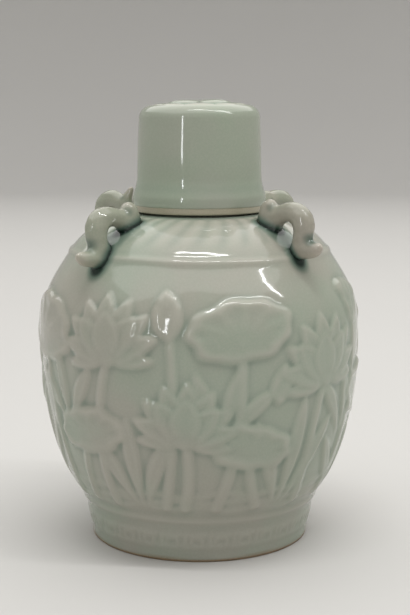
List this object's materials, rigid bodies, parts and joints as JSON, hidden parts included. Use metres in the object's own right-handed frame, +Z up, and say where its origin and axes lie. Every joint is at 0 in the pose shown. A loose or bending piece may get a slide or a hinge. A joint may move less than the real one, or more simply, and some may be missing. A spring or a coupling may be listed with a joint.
{
  "type": "lidded jar",
  "caption": "Celadon wine jar with a moulded belly, coiled loop handles on the shoulder, and a tall bell lid over a corked neck.",
  "frame": {"origin": "middle of the foot ring, on the surface that the jar stands on", "axes": "+Z up along the jar's axis, out of its mouth; the handles stand on +X, +Y, -X and -Y, each turned by at most three degrees"},
  "size_m": [0.1056, 0.1056, 0.1436],
  "materials": {
    "celadon_glaze": "thick glossy celadon glaze, darker and bluer where it pools, paler on raised edges",
    "cork": "matt natural cork"
  },
  "bodies": {
    "jar": {"jar_body": "celadon_glaze", "handle_right": "celadon_glaze", "handle_rear": "celadon_glaze", "handle_left": "celadon_glaze", "handle_front": "celadon_glaze"},
    "lid": {"lid": "celadon_glaze"},
    "cork": {"cork": "cork"}
  },
  "joints": [
    {"name": "lid_lift", "type": "slide", "parent": "jar", "child": "lid", "axis": [0, 0, 1], "range_m": [0, 0.06]},
    {"name": "cork_pull", "type": "slide", "parent": "jar", "child": "cork", "axis": [0, 0, 1], "range_m": [0, 0.03]}
  ],
  "couplings": [
    {"joint": "cork_pull", "follows": "lid_lift", "ratio": 0.5}
  ]
}
